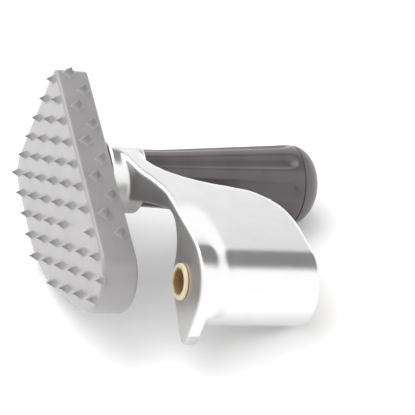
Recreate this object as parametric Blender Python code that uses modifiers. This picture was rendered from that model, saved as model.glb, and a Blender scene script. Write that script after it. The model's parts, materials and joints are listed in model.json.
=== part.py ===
"""Product pusher of a food slicer: a spiked plate on a cast arm that slides on a guide rod.

The tool frame has X along the guide rod, from the spiked face towards the grip, Z up the
plate and Y from the arm's polished skin to its open side. Its origin is where the rod's axis
meets the plane of the spiked face. The whole tool hangs on one empty, which lays it on the
bench as it comes to rest: on the plate's side, the rod hood's far corner and the grip's cap.
"""
import math

import bmesh
import bpy
import numpy as np
from mathutils import Matrix, Vector

# Resting attitude of the tool frame on the bench
LEAN = math.radians(-71.813)        # about the rod, so that the skin looks up
DIP = math.radians(20.189)          # about the bench's Y, so that the rod falls towards the grip

GAP = 0.0003                        # clearance between neighbouring pieces

# Pusher plate
PLATE_THICKNESS = 0.0185
PLATE_FRONT = -0.0043               # Y of the narrow face
PLATE_BACK = 0.0807                 # Y of the far side
PLATE_TOP = (0.1396, 0.1438)        # Z of the top at the narrow face and at the far side
PLATE_FOOT = -0.0035
PLATE_SLANT = (0.0656, 0.0264)      # Z where the slanted side meets the far side, Y where it meets the foot
PLATE_EDGE_RADIUS = 0.0016
SPIKE_PITCH = 0.015
SPIKE_HEIGHT = 0.0041
SPIKE_RADIUS = 0.0034
SPIKE_ROOT = 0.0004                 # how far a spike's foot is sunk in the plate
FIRST_SPIKE = (0.001, 0.1355)
SPIKE_COLUMNS = (10, 10, 9, 8, 7, 5)
BARE_SPOT = (1, 6)                  # a lattice place with no spike
LUG_PITCH = 0.0243
LUG_HEIGHT = 0.0046
LUG_RADIUS = 0.004
LUG_COLUMNS = ((0.0074, 0.1356, 5), (0.0130, 0.1233, 5))    # depth, top, count of each column

# Guide rod and the arm that carries it
ROD_RADIUS = 0.006
FLANGE_RADIUS = 0.0091
FLANGE_THICKNESS = 0.0015
SLEEVE_RADIUS = 0.008
EAR_FRONT = 0.0405
EAR_THICKNESS = 0.007
EAR_RADIUS = 0.0245
HOOD_RADIUS = 0.0217
HOOD_END = 0.106
WALL = 0.004
END_WALL = 0.006
HOOD_LIP = math.radians(-48)        # where the hood's wall stops, under the rod

# Grip axis and the boss that it screws against
GRIP_AXIS = (0.0145, 0.080)
BOSS_RADIUS = 0.0188
BOSS_FRONT = PLATE_THICKNESS + GAP
BOSS_BACK = 0.0385
STUD_RADIUS = 0.004
STUD_TIP = 0.0075
STUD_END = 0.119
INSERT_RADIUS = 0.0065
INSERT_LENGTH = 0.0115
HOLE_FLOOR = 0.0062                 # X of the bottom of the insert's hole
PIN_RADIUS = 0.002
PIN_LENGTH = 0.012
PIN_SPREAD = 0.0125

# Grip
GRIP_START = BOSS_BACK + GAP
GRIP_END = 0.1282
GRIP_RADIUS = 0.0217
CAP_HEIGHT = 0.0142
POCKET_FLOOR = 0.108
POCKET_RADIUS = 0.0093
FLUTES = 8
FLUTE_RADIUS = 0.006
FLUTE_DISTANCE = 0.0235
FLUTE_STOP = 0.1195
FLUTE_TURN = math.radians(6)

TURN_STEPS = 48

# Frames for flat outlines: columns are the outline's across, up and depth directions
SIDE_VIEW = Matrix(((0, 0, 1, 0), (1, 0, 0, 0), (0, 1, 0, 0), (0, 0, 0, 1)))


# ---------------------------------------------------------------- scene and materials

def clear_scene():
    """Remove every object that the scene holds."""
    for obj in list(bpy.data.objects):
        bpy.data.objects.remove(obj, do_unlink=True)


def make_collection(name):
    """Add a collection to the scene."""
    collection = bpy.data.collections.new(name)
    bpy.context.scene.collection.children.link(collection)
    return collection


def make_material(name, colour, roughness, metallic=0.0):
    """Make a Principled material."""
    material = bpy.data.materials.new(name)
    material.use_nodes = True
    shader = material.node_tree.nodes["Principled BSDF"]
    shader.inputs["Base Color"].default_value = (*colour, 1)
    shader.inputs["Roughness"].default_value = roughness
    shader.inputs["Metallic"].default_value = metallic
    return material


def make_empty(name, parent, location=(0, 0, 0)):
    """Make an empty that carries other objects."""
    empty = bpy.data.objects.new(name, None)
    empty.empty_display_size = 0.01
    empty.parent = parent
    empty.location = location
    bpy.context.scene.collection.objects.link(empty)
    return empty


class Shop:
    """Where new pieces go: the two collections and the empty that carries the tool."""

    def __init__(self):
        self.parts = make_collection("food_slicer_pusher")
        self.cutters = make_collection("cutters")
        self.tool = make_empty("tool_frame", None)
        self.tool.rotation_euler = (LEAN, DIP, 0)

    def part(self, obj, material, parent=None, smooth=35):
        """File an object as a piece of the tool."""
        return self._file(obj, self.parts, material, parent or self.tool, smooth)

    def cutter(self, obj):
        """File an object as a cutter or a building block."""
        obj.hide_render = True
        obj.display_type = "WIRE"
        return self._file(obj, self.cutters, None, self.tool, None)

    @staticmethod
    def _file(obj, collection, material, parent, smooth):
        for owner in list(obj.users_collection):
            owner.objects.unlink(obj)
        collection.objects.link(obj)
        obj.parent = parent
        if material:
            obj.data.materials.clear()
            obj.data.materials.append(material)
        if smooth:
            obj.data.shade_smooth()
            obj.data.set_sharp_from_angle(angle=math.radians(smooth))
        return obj


# ---------------------------------------------------------------- solids

def new_object(name, mesh):
    """Link a mesh to the scene as an object."""
    obj = bpy.data.objects.new(name, mesh)
    bpy.context.scene.collection.objects.link(obj)
    return obj


def turned(name, profile, closed=False):
    """Turn a profile of (radius, X) points, far end first, about the tool's X direction."""
    mesh = bpy.data.meshes.new(name)
    count = len(profile)
    edges = [(i, i + 1) for i in range(count - 1)]
    if closed:
        edges.append((count - 1, 0))
    mesh.from_pydata([(radius, 0, along) for radius, along in profile], edges, [])
    obj = new_object(name, mesh)
    screw = obj.modifiers.new("turn", "SCREW")
    screw.steps = TURN_STEPS
    screw.render_steps = TURN_STEPS
    screw.use_merge_vertices = True
    screw.merge_threshold = 0.00001
    screw.use_smooth_shade = True
    obj.rotation_euler = (0, math.pi / 2, 0)
    return obj


def ring(name, outer, inner, near, far):
    """A plain tube or washer between two X positions."""
    return turned(name, [(outer, far), (outer, near), (inner, near), (inner, far)], closed=True)


def rod(name, radius, near, far):
    """A plain round bar between two X positions."""
    return turned(name, [(0, far), (radius, far), (radius, near), (0, near)])


def outline_solid(name, points, view, near, far):
    """Extrude a closed outline from depth near to depth far of its view frame."""
    curve = bpy.data.curves.new(name, "CURVE")
    curve.dimensions = "2D"
    curve.fill_mode = "BOTH"
    curve.extrude = (far - near) / 2
    spline = curve.splines.new("POLY")
    spline.points.add(len(points) - 1)
    for point, (across, up) in zip(spline.points, points):
        point.co = (across, up, 0, 1)
    spline.use_cyclic_u = True
    sketch = new_object(name + "_sketch", curve)
    bpy.context.view_layer.update()
    solid = bpy.data.meshes.new_from_object(sketch.evaluated_get(bpy.context.evaluated_depsgraph_get()))
    bpy.data.objects.remove(sketch)
    bpy.data.curves.remove(curve)
    edit = bmesh.new()
    edit.from_mesh(solid)
    bmesh.ops.remove_doubles(edit, verts=edit.verts, dist=0.00001)
    bmesh.ops.recalc_face_normals(edit, faces=edit.faces)
    edit.to_mesh(solid)
    edit.free()
    obj = new_object(name, solid)
    obj.matrix_world = view @ Matrix.Translation((0, 0, (near + far) / 2))
    return obj


def combine(target, tool, operation):
    """Add an exact Boolean of another object."""
    boolean = target.modifiers.new(tool.name, "BOOLEAN")
    boolean.operation = operation
    boolean.object = tool
    boolean.solver = "EXACT"
    return target


def bevel(obj, width, segments, angle):
    """Round the edges that are sharper than an angle in degrees."""
    edge = obj.modifiers.new("edges", "BEVEL")
    edge.width = width
    edge.segments = segments
    edge.limit_method = "ANGLE"
    edge.angle_limit = math.radians(angle)
    return obj


# ---------------------------------------------------------------- outlines

def arc(centre, radius, start, end, count):
    """Points on a circle, from one angle to another."""
    angles = np.linspace(start, end, count)
    return [(centre[0] + radius * math.cos(a), centre[1] + radius * math.sin(a)) for a in angles]


def rounded(corners, steps=8):
    """Round each (across, up, radius) corner of an anticlockwise polygon."""
    points = []
    for index, (across, up, radius) in enumerate(corners):
        here = Vector((across, up))
        before = (Vector(corners[index - 1][:2]) - here).normalized()
        after = (Vector(corners[(index + 1) % len(corners)][:2]) - here).normalized()
        half = before.angle(after) / 2
        centre = here + (before + after).normalized() * radius / math.sin(half)
        inward = (here + before * radius / math.tan(half)) - centre
        sweep = math.pi - 2 * half
        for step in range(steps + 1):
            turn = Matrix.Rotation(sweep * step / steps, 2)
            spoke = turn @ inward
            points.append((centre.x + spoke.x, centre.y + spoke.y))
    return points


def smooth_path(knots, steps=5):
    """A Catmull-Rom path through the knots."""
    ends = [knots[0], *knots, knots[-1]]
    points = []
    for a, b, c, d in zip(ends, ends[1:], ends[2:], ends[3:]):
        p0, p1, p2, p3 = (np.array(p) for p in (a, b, c, d))
        for step in range(steps):
            t = step / steps
            bend = 2 * p1 + (p2 - p0) * t
            bend = bend + (2 * p0 - 5 * p1 + 4 * p2 - p3) * t**2 + (3 * p1 - p0 - 3 * p2 + p3) * t**3
            points.append(tuple(bend / 2))
    points.append(knots[-1])
    return points


# ---------------------------------------------------------------- pusher plate

def pyramids(name, places, height, radius, root):
    """Four-sided spikes that stand on places along their local Z."""
    edit = bmesh.new()
    for place in places:
        bmesh.ops.create_cone(
            edit, cap_ends=True, segments=4, radius1=radius * (height + root) / height, radius2=0,
            depth=height + root, matrix=Matrix.Translation((*place, (height - root) / 2)))
    mesh = bpy.data.meshes.new(name)
    edit.to_mesh(mesh)
    edit.free()
    return new_object(name, mesh)


def face_spikes(shop):
    """The lattice of spikes on the large face."""
    places = []
    for column, count in enumerate(SPIKE_COLUMNS):
        for row in range(count):
            if (column, row) != BARE_SPOT:
                across = FIRST_SPIKE[0] + column * SPIKE_PITCH
                up = FIRST_SPIKE[1] - row * SPIKE_PITCH
                places.append((up, across))
    spikes = pyramids("face_spikes", places, SPIKE_HEIGHT, SPIKE_RADIUS, SPIKE_ROOT)
    # local X up the plate, local Y across it, local Z out of the spiked face
    spikes.matrix_world = Matrix(((0, 0, -1, 0), (0, 1, 0, 0), (1, 0, 0, 0), (0, 0, 0, 1)))
    return shop.cutter(spikes)


def edge_lugs(shop):
    """The two staggered columns of pyramids on the narrow face."""
    places = [(depth, top - row * LUG_PITCH) for depth, top, count in LUG_COLUMNS for row in range(count)]
    lugs = pyramids("edge_lugs", places, LUG_HEIGHT, LUG_RADIUS, SPIKE_ROOT)
    # local X through the plate, local Y up it, local Z out of the narrow face
    lugs.matrix_world = Matrix(((1, 0, 0, 0), (0, 0, -1, PLATE_FRONT), (0, 1, 0, 0), (0, 0, 0, 1)))
    return shop.cutter(lugs)


def on_axis(obj, axis):
    """Move a turned object to an axis parallel to the rod."""
    obj.location = (0, *axis)
    return obj


def pins(name, radius, near, far):
    """Two round bars, up and down from the grip's axis, as one object."""
    edit = bmesh.new()
    for side in (1, -1):
        centre = ((near + far) / 2, GRIP_AXIS[0], GRIP_AXIS[1] + side * PIN_SPREAD)
        matrix = Matrix.Translation(centre) @ Matrix.Rotation(math.pi / 2, 4, "Y")
        bmesh.ops.create_cone(edit, cap_ends=True, segments=20, radius1=radius, radius2=radius,
                              depth=far - near, matrix=matrix)
    mesh = bpy.data.meshes.new(name)
    edit.to_mesh(mesh)
    edit.free()
    return new_object(name, mesh)


def build_plate(shop, material):
    """The moulded plate with its spikes and the blind holes in its back."""
    slant_up, slant_foot = PLATE_SLANT
    corners = [
        (PLATE_FRONT, PLATE_FOOT, 0.017), (slant_foot, PLATE_FOOT, 0.027), (PLATE_BACK, slant_up, 0.080),
        (PLATE_BACK, PLATE_TOP[1], 0.0145), (PLATE_FRONT, PLATE_TOP[0], 0.0035),
    ]
    plate = outline_solid("pusher_plate", rounded(corners), SIDE_VIEW, 0, PLATE_THICKNESS)
    bevel(plate, PLATE_EDGE_RADIUS, 2, 50)
    combine(plate, face_spikes(shop), "UNION")
    combine(plate, edge_lugs(shop), "UNION")
    past = PLATE_THICKNESS + 0.002
    insert_hole = rod("insert_hole", INSERT_RADIUS + GAP, HOLE_FLOOR, past)
    combine(plate, shop.cutter(on_axis(insert_hole, GRIP_AXIS)), "DIFFERENCE")
    pin_holes = pins("plate_pin_holes", PIN_RADIUS + GAP, PLATE_THICKNESS - PIN_LENGTH / 2 - GAP, past)
    combine(plate, shop.cutter(pin_holes), "DIFFERENCE")
    return shop.part(plate, material, smooth=25)


# ---------------------------------------------------------------- arm

class Skin:
    """The flat polished skin: the common tangent of the rod hood and the boss."""

    def __init__(self):
        centres = Vector(GRIP_AXIS)
        reach = centres.length
        along = centres / reach
        outward = Vector((-along.y, along.x))
        taper = (HOOD_RADIUS - BOSS_RADIUS) / reach
        self.normal = outward * math.sqrt(1 - taper**2) + along * taper
        self.up = Vector((self.normal.y, -self.normal.x))
        self.length = math.sqrt(reach**2 - (HOOD_RADIUS - BOSS_RADIUS)**2)
        self.angle = math.atan2(self.normal.y, self.normal.x)

    def point(self, height, depth=0.0):
        """Side-view point at a height above the hood's tangent and a depth under the skin."""
        place = self.normal * (HOOD_RADIUS - depth) + self.up * height
        return (place.x, place.y)

    def view(self):
        """Frame that looks down on the skin: across is the tool's X, up climbs the arm."""
        return Matrix(((1, 0, 0, 0), (0, self.up.x, self.normal.x, 0), (0, self.up.y, self.normal.y, 0),
                       (0, 0, 0, 1)))


def front_edge(setback):
    """The arm's front edge in plan, from the boss down to the ear's plane."""
    knots = [(0.0207, 0.0815), (0.0249, 0.0754), (0.0301, 0.0622), (0.0347, 0.0555), (0.0392, 0.046),
             (EAR_FRONT, 0.036)]
    return smooth_path([(along + setback, height) for along, height in knots])


def fan_plan():
    """Plan of the skin seen square on: narrow at the boss and as wide as the hood at the rod."""
    back = smooth_path([(0.106, 0.010), (0.1052, 0.0243), (0.1028, 0.0345), (0.0986, 0.0413),
                        (0.0928, 0.0465), (0.0871, 0.0497), (0.0762, 0.0525), (0.063, 0.0557),
                        (0.0509, 0.0606), (0.0425, 0.0661), (0.0365, 0.0735), (0.0342, 0.0818)])
    front = front_edge(0.0007)
    return front + [(front[-1][0], -0.05), (HOOD_END, -0.05)] + back


def web_plan():
    """Plan of the web: it steps back from the boss to the ear's plane."""
    front = [(0.0210, 0.105)] + front_edge(0)
    ear_back = EAR_FRONT + EAR_THICKNESS
    back = smooth_path([(ear_back, 0.030), (0.0462, 0.042), (0.0412, 0.054), (0.0362, 0.0635),
                        (0.0315, 0.077), (0.0300, 0.105)])
    return front + [(EAR_FRONT, -0.05), (ear_back, -0.05)] + back


def hood_section(skin):
    """Section across the rod: the skin's line, then the hood's wall under the rod."""
    foot = 2 * math.pi + HOOD_LIP
    outside = arc((0, 0), HOOD_RADIUS, skin.angle, foot, 22)
    inside = arc((0, 0), HOOD_RADIUS - WALL, foot, skin.angle, 22)
    crown = skin.length - 0.0025
    return [skin.point(crown)] + outside + inside + [skin.point(crown, WALL), skin.point(skin.length + 0.004, 0.008)]


def web_outline(skin):
    """Side view of the ear and of the neck that joins it to the boss."""
    front = [skin.point(skin.length - 0.006, 0.0006), skin.point(0.020, -0.0004)]
    ear = arc((0, 0), EAR_RADIUS, skin.angle + 0.02, math.radians(252), 16)
    back = smooth_path([(0.0122, -0.0272), (0.0170, -0.0258), (0.0185, -0.0215), (0.0157, -0.0109),
                        (0.0135, -0.002), (0.0125, 0.0062), (0.0065, 0.0122),
                        (-0.001, 0.0163), (-0.0062, 0.022), (-0.0094, 0.030), (-0.0078, 0.0385),
                        (-0.0012, 0.047), (0.0088, 0.0585), (0.0175, 0.0645), (0.0278, 0.0675)])
    boss = [(0.0278, 0.0790), (0.0045, 0.0860)]
    return front + ear + back + boss


def end_outline(skin):
    """Side view of the wall that closes the hood's far end."""
    hood = arc((0, 0), HOOD_RADIUS - 0.0005, skin.angle, math.radians(318), 20)
    back = smooth_path([(0.0142, -0.004), (0.0125, 0.0062), (0.0065, 0.0122), (-0.002, 0.0165),
                        (-0.0085, 0.0215)])
    return [skin.point(0.020, 0.0005)] + hood + back


def build_arm(shop, material):
    """The arm casting: boss, web, ear, skin, hood and far wall in one piece."""
    skin = Skin()
    arm = outline_solid("arm_casting", hood_section(skin), SIDE_VIEW, 0.015, HOOD_END + 0.003)
    plan = outline_solid("fan_plan", fan_plan(), skin.view(), -0.06, 0.06)
    combine(arm, shop.cutter(plan), "INTERSECT")

    web = outline_solid("web", web_outline(skin), SIDE_VIEW, 0.015, 0.055)
    strip = outline_solid("web_plan", web_plan(), skin.view(), -0.06, 0.06)
    combine(web, shop.cutter(strip), "INTERSECT")
    combine(arm, shop.cutter(web), "UNION")

    wall = outline_solid("far_wall", end_outline(skin), SIDE_VIEW, HOOD_END - END_WALL, HOOD_END - 0.0001)
    combine(arm, shop.cutter(wall), "UNION")
    boss = on_axis(rod("boss", BOSS_RADIUS, BOSS_FRONT, BOSS_BACK), GRIP_AXIS)
    combine(arm, shop.cutter(boss), "UNION")

    pin_holes = pins("boss_pin_holes", PIN_RADIUS + GAP, 0.005, PLATE_THICKNESS + PIN_LENGTH / 2 + GAP)
    combine(arm, shop.cutter(pin_holes), "DIFFERENCE")
    bush_bore = rod("bush_bore", 0.008 + GAP, EAR_FRONT - 0.01, HOOD_END + 0.01)
    combine(arm, shop.cutter(bush_bore), "DIFFERENCE")
    seat = BOSS_BACK - 0.0015
    stud_bore = turned("stud_bore", [
        (0, BOSS_BACK + 0.01), (0.0112, BOSS_BACK + 0.01), (0.0112, seat), (STUD_RADIUS + 0.0005, seat),
        (STUD_RADIUS + 0.0005, BOSS_FRONT - 0.01), (0, BOSS_FRONT - 0.01)])
    combine(arm, shop.cutter(on_axis(stud_bore, GRIP_AXIS)), "DIFFERENCE")
    return shop.part(arm, material)


def build_bushes(shop, material):
    """The two flanged bushes that run on the rod, one in the ear and one in the far wall."""
    def bush(name, face, depth, side):
        """A bush whose flange lies outside a face, with its sleeve running back into the wall."""
        flange = [face + side * GAP, face + side * (GAP + FLANGE_THICKNESS)]
        sleeve_end = face - side * depth
        profile = [(FLANGE_RADIUS, flange[1]), (FLANGE_RADIUS, flange[0]), (SLEEVE_RADIUS, flange[0]),
                   (SLEEVE_RADIUS, sleeve_end), (ROD_RADIUS, sleeve_end), (ROD_RADIUS, flange[1])]
        if side < 0:
            profile.reverse()
        return turned(name, profile, closed=True)

    shop.part(bush("guide_bush_front", EAR_FRONT, EAR_THICKNESS + 0.001, -1), material)
    shop.part(bush("guide_bush_rear", HOOD_END, END_WALL + 0.001, 1), material)


# ---------------------------------------------------------------- grip

def grip_profile():
    """Outside of the grip from its far end down to the boss."""
    return [(GRIP_RADIUS, GRIP_END), (0.0216, 0.124), (0.0199, 0.104), (0.0177, 0.078), (0.0158, 0.056),
            (0.0154, 0.047), (0.0152, 0.0405), (0.0147, GRIP_START)]


def flute_cutter(shop, axis):
    """Round-nosed bars around the grip that leave its flutes."""
    edit = bmesh.new()
    start = GRIP_START - 0.01
    length = FLUTE_STOP - start
    for index in range(FLUTES):
        place = Matrix.Rotation(FLUTE_TURN + index * 2 * math.pi / FLUTES, 4, "X") @ \
            Matrix.Translation((start + length / 2, FLUTE_DISTANCE, 0)) @ Matrix.Rotation(math.pi / 2, 4, "Y")
        bar = bmesh.ops.create_uvsphere(edit, u_segments=20, v_segments=10, radius=FLUTE_RADIUS)
        for vert in bar["verts"]:
            vert.co.z += length / 2 if vert.co.z > -0.0001 else -length / 2
        bmesh.ops.transform(edit, matrix=place, verts=bar["verts"])
    mesh = bpy.data.meshes.new("flutes")
    edit.to_mesh(mesh)
    edit.free()
    flutes = new_object("flutes", mesh)
    flutes.location = (0, *axis)
    return shop.cutter(flutes)


def build_grip(shop, materials):
    """The grip, its stud and what holds them together, on an empty on the screw's axis."""
    spindle = make_empty("grip_axis", shop.tool, (0, *GRIP_AXIS))
    bore = STUD_RADIUS + GAP
    inside = [(bore, GRIP_START), (bore, POCKET_FLOOR), (POCKET_RADIUS, POCKET_FLOOR), (POCKET_RADIUS, GRIP_END)]
    grip = turned("handle_grip", grip_profile() + inside, closed=True)
    combine(grip, flute_cutter(shop, GRIP_AXIS), "DIFFERENCE")
    shop.part(grip, materials["grip"], spindle)

    shop.part(rod("handle_stud", STUD_RADIUS, STUD_TIP, STUD_END), materials["steel"], spindle)
    washer = ring("grip_washer", 0.008, bore, POCKET_FLOOR + GAP, POCKET_FLOOR + 0.0019)
    shop.part(washer, materials["steel"], spindle)
    nut = hex_nut(shop, "grip_nut", 0.013, bore, POCKET_FLOOR + 0.0022, 0.0065)
    shop.part(nut, materials["steel"], spindle)

    seam = GRIP_END + GAP
    dome = [(GRIP_RADIUS * math.cos(a), seam + CAP_HEIGHT * math.sin(a))
            for a in np.linspace(math.pi / 2, 0, 13)]
    plug = [(POCKET_RADIUS - GAP, seam), (POCKET_RADIUS - GAP, 0.1197), (0, 0.1197)]
    cap = turned("handle_end_cap", [(0, seam + CAP_HEIGHT)] + dome[1:] + plug)
    shop.part(cap, materials["cap"], spindle)


def hex_nut(shop, name, flats, bore, near, height):
    """A hexagon nut on the grip's axis, with its hole."""
    edit = bmesh.new()
    bmesh.ops.create_cone(edit, cap_ends=True, segments=6, radius1=flats / math.sqrt(3),
                          radius2=flats / math.sqrt(3), depth=height)
    mesh = bpy.data.meshes.new(name)
    edit.to_mesh(mesh)
    edit.free()
    nut = new_object(name, mesh)
    nut.rotation_euler = (0, math.pi / 2, 0)
    nut.location = (near + height / 2, 0, 0)
    hole = rod("nut_hole", bore, near - 0.01, near + height + 0.01)
    return combine(nut, shop.cutter(on_axis(hole, GRIP_AXIS)), "DIFFERENCE")


def build_clamp(shop, materials):
    """What the stud pulls together: the plate's insert, the locating pins and the thrust washer."""
    bore = STUD_RADIUS + GAP
    insert = ring("plate_insert", INSERT_RADIUS, bore, PLATE_THICKNESS - INSERT_LENGTH - GAP, PLATE_THICKNESS - GAP)
    shop.part(on_axis(insert, GRIP_AXIS), materials["brass"])

    washer = ring("thrust_washer", 0.011, bore, BOSS_BACK - 0.0015 + GAP, BOSS_BACK)
    shop.part(on_axis(washer, GRIP_AXIS), materials["nylon"])

    half = PIN_LENGTH / 2 - GAP
    for name, side in (("locating_pin_upper", 1), ("locating_pin_lower", -1)):
        pin = rod(name, PIN_RADIUS, PLATE_THICKNESS - half, PLATE_THICKNESS + half)
        shop.part(on_axis(pin, (GRIP_AXIS[0], GRIP_AXIS[1] + side * PIN_SPREAD)), materials["steel"])


# ---------------------------------------------------------------- assembly

def stand_on_bench(shop):
    """Put the lowest point of the tool at Z = 0, with its bounding box centred over the origin."""
    bpy.context.view_layer.update()
    depsgraph = bpy.context.evaluated_depsgraph_get()
    corners = []
    for obj in shop.parts.objects:
        evaluated = obj.evaluated_get(depsgraph)
        corners += [tuple(obj.matrix_world @ vert.co) for vert in evaluated.data.vertices]
    low, high = np.min(corners, axis=0), np.max(corners, axis=0)
    shop.tool.location = (-(low[0] + high[0]) / 2, -(low[1] + high[1]) / 2, -low[2])
    bpy.context.view_layer.update()


def main():
    """Build every piece in the tool frame, then stand the tool on the bench."""
    clear_scene()
    shop = Shop()
    materials = {
        "plate": make_material("moulded_grey", (0.56, 0.54, 0.55), 0.45),
        "aluminium": make_material("polished_aluminium", (0.78, 0.78, 0.78), 0.22, 1.0),
        "grip": make_material("dark_grip", (0.12, 0.10, 0.11), 0.28),
        "cap": make_material("dark_cap", (0.13, 0.11, 0.12), 0.3),
        "nylon": make_material("natural_nylon", (0.75, 0.60, 0.42), 0.5),
        "steel": make_material("zinc_plated_steel", (0.6, 0.6, 0.62), 0.35, 1.0),
        "brass": make_material("brass", (0.72, 0.52, 0.25), 0.35, 1.0),
    }
    build_plate(shop, materials["plate"])
    build_arm(shop, materials["aluminium"])
    build_bushes(shop, materials["nylon"])
    build_clamp(shop, materials)
    build_grip(shop, materials)
    stand_on_bench(shop)


main()
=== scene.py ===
"""Visual model of a food slicer's product pusher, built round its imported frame.

Every piece is shaped in the tool frame and then placed, in its mesh, where the frame has it.
In the tool frame X runs along the guide rod from the spiked face towards the grip, Z climbs
the plate and Y leads from the arm's polished skin to its open side.
"""
import json
import logging
import math
from dataclasses import dataclass
from enum import Enum
from typing import Callable, Sequence

import bmesh
import bpy
from mathutils import Euler, Matrix, Vector


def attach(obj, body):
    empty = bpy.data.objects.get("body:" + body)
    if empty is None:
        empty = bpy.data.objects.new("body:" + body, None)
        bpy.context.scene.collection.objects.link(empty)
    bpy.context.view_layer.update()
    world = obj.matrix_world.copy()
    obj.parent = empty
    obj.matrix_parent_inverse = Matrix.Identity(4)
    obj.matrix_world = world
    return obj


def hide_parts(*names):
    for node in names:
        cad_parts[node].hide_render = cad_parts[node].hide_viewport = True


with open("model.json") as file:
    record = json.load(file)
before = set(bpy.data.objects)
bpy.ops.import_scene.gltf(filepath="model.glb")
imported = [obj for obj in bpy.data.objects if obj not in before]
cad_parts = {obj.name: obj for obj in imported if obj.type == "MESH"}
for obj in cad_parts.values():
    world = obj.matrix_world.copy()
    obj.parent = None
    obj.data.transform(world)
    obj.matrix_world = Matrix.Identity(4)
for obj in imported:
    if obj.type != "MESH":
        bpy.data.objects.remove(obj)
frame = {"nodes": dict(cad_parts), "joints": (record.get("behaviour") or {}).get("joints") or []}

LOG = logging.getLogger("product_pusher")
FULL_TURN = 2 * math.pi

Flat = tuple[float, float]
Colour = tuple[float, float, float]


class Body(Enum):
    """The frame's moving bodies."""

    ARM = "arm"
    THRUST_RING = "thrust_ring"
    GRIP = "grip"


class Cut(Enum):
    """How one solid acts on another."""

    ADD = "UNION"
    KEEP = "INTERSECT"
    REMOVE = "DIFFERENCE"


@dataclass(frozen=True)
class ToolFrame:
    """How the tool lies on the bench."""

    lean: float = math.radians(-71.813)
    dip: float = math.radians(20.189)
    screw_point: tuple[float, float, float] = (0.0346, 0.0145, 0.080)

    def turn(self) -> Euler:
        """Return the tool's attitude."""
        return Euler((self.lean, self.dip, 0.0))

    def matrix(self) -> Matrix:
        """Return the matrix from the tool frame to the row frame."""
        screw = next(joint for joint in frame["joints"] if joint["name"] == "grip_turn")
        turn = self.turn().to_matrix()
        shift = Vector(screw["pos_m"]) - turn @ Vector(self.screw_point)
        return Matrix.Translation(shift) @ turn.to_4x4()


TOOL = ToolFrame()

# Columns are an outline's across, up and depth directions in the tool frame
SIDE_VIEW = Matrix(((0, 0, 1, 0), (1, 0, 0, 0), (0, 1, 0, 0), (0, 0, 0, 1)))


# ---------------------------------------------------------------- finishes

class Graph:
    """The node graph of one material."""

    def __init__(self, name: str) -> None:
        """Start a material.

        Args:
            name: the material's name.
        """
        self.material = bpy.data.materials.new(name)
        self.material.use_nodes = True
        self.tree = self.material.node_tree
        self.shader = self.tree.nodes["Principled BSDF"]

    def feed(self, socket: bpy.types.NodeSocket, value: object) -> None:
        """Link a socket to an input, or set the input's value.

        Args:
            socket: the input.
            value: an output socket, or a plain value.
        """
        if isinstance(value, bpy.types.NodeSocket):
            self.tree.links.new(value, socket)
        else:
            socket.default_value = value

    def node(self, kind: str, inputs: dict, out: int = 0, **choices: object) -> bpy.types.NodeSocket:
        """Add a node and return one of its outputs.

        Args:
            kind: the node's type.
            inputs: what its inputs get, by name or index.
            out: which output to return.
            choices: the node's own settings.

        Returns:
            The output socket.
        """
        made = self.tree.nodes.new(kind)
        for name, choice in choices.items():
            setattr(made, name, choice)
        for key, value in inputs.items():
            self.feed(made.inputs[key], value)
        return made.outputs[out]

    def tool_place(self) -> bpy.types.NodeSocket:
        """Return the surface point in the tool frame."""
        here = self.tree.nodes.new("ShaderNodeTexCoord").outputs["Object"]
        return self.node("ShaderNodeMapping", {
            "Vector": here, "Location": TOOL.matrix().translation, "Rotation": TOOL.turn()},
            vector_type="TEXTURE")

    def noise(self, place: bpy.types.NodeSocket, scale: float, detail: float = 2.0) -> bpy.types.NodeSocket:
        """Return smooth noise.

        Args:
            place: the point it is read at.
            scale: features for each metre.
            detail: how many finer layers it has.

        Returns:
            The noise, round 0.5.
        """
        return self.node("ShaderNodeTexNoise", {"Vector": place, "Scale": scale, "Detail": detail})

    def stretched(self, place: bpy.types.NodeSocket, scale: Sequence[float]) -> bpy.types.NodeSocket:
        """Return a point scaled along each axis, for a pattern with a grain."""
        return self.node("ShaderNodeMapping", {"Vector": place, "Scale": scale})

    def spread(self, value: bpy.types.NodeSocket, low: float, high: float,
               start: float = 0.3, stop: float = 0.7) -> bpy.types.NodeSocket:
        """Map a value on to a range.

        Args:
            value: what is mapped.
            low: the result at start.
            high: the result at stop.
            start: the value that gives low.
            stop: the value that gives high.

        Returns:
            The mapped value.
        """
        return self.node("ShaderNodeMapRange", {
            "Value": value, "From Min": start, "From Max": stop, "To Min": low, "To Max": high})

    def blend(self, share: object, first: object, second: object) -> bpy.types.NodeSocket:
        """Mix two colours.

        Args:
            share: the second colour's share.
            first: a colour or an output.
            second: a colour or an output.

        Returns:
            The mixed colour.
        """
        made = self.tree.nodes.new("ShaderNodeMix")
        made.data_type = "RGBA"
        self.feed(made.inputs["Factor"], share)
        for socket, colour in ((made.inputs[6], first), (made.inputs[7], second)):
            self.feed(socket, colour if isinstance(colour, bpy.types.NodeSocket) else (*colour, 1.0))
        return made.outputs[2]

    def maths(self, operation: str, first: object, second: object = 0.0) -> bpy.types.NodeSocket:
        """Return the result of one Math node."""
        return self.node("ShaderNodeMath", {0: first, 1: second}, operation=operation)

    def bump(self, height: bpy.types.NodeSocket, distance: float,
             under: bpy.types.NodeSocket | None = None, strength: float = 1.0) -> bpy.types.NodeSocket:
        """Return a normal that a height has roughened.

        Args:
            height: the height, from 0 to 1.
            distance: how far 1 stands up, in metres.
            under: a normal that this one is added to.
            strength: the share of the effect that is kept.

        Returns:
            The normal.
        """
        inputs = {"Height": height, "Distance": distance, "Strength": strength}
        if under is not None:
            inputs["Normal"] = under
        return self.node("ShaderNodeBump", inputs)

    def finish(self, **inputs: object) -> bpy.types.Material:
        """Feed the shader's inputs, named with underscores for spaces, and return the material."""
        for name, value in inputs.items():
            self.feed(self.shader.inputs[name.replace("_", " ")], value)
        return self.material


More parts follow.
